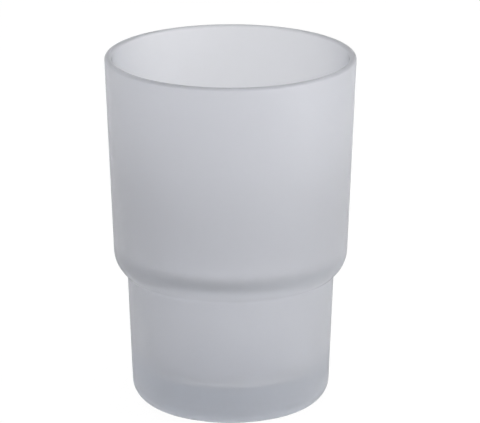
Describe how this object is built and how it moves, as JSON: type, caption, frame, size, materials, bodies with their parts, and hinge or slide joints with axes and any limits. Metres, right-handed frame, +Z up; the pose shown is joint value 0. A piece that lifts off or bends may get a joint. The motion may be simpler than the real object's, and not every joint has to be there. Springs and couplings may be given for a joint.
{
  "type": "bathroom tumbler",
  "caption": "Stepped frosted-glass tumbler: a tapering bowl on a narrower foot that drops into a wall holder's ring or stands on its dished base.",
  "frame": {"origin": "on the tumbler's axis, in the plane of the ring that it stands on", "axes": "+Z up along the tumbler's axis towards its mouth; X and Y are alike because the tumbler is round"},
  "size_m": [0.07, 0.07, 0.1],
  "materials": {
    "frosted_glass": "etched to an even satin frost inside and out, with a smoother melted lip"
  },
  "bodies": {
    "root": {"glass_tumbler": "frosted_glass"}
  },
  "joints": []
}
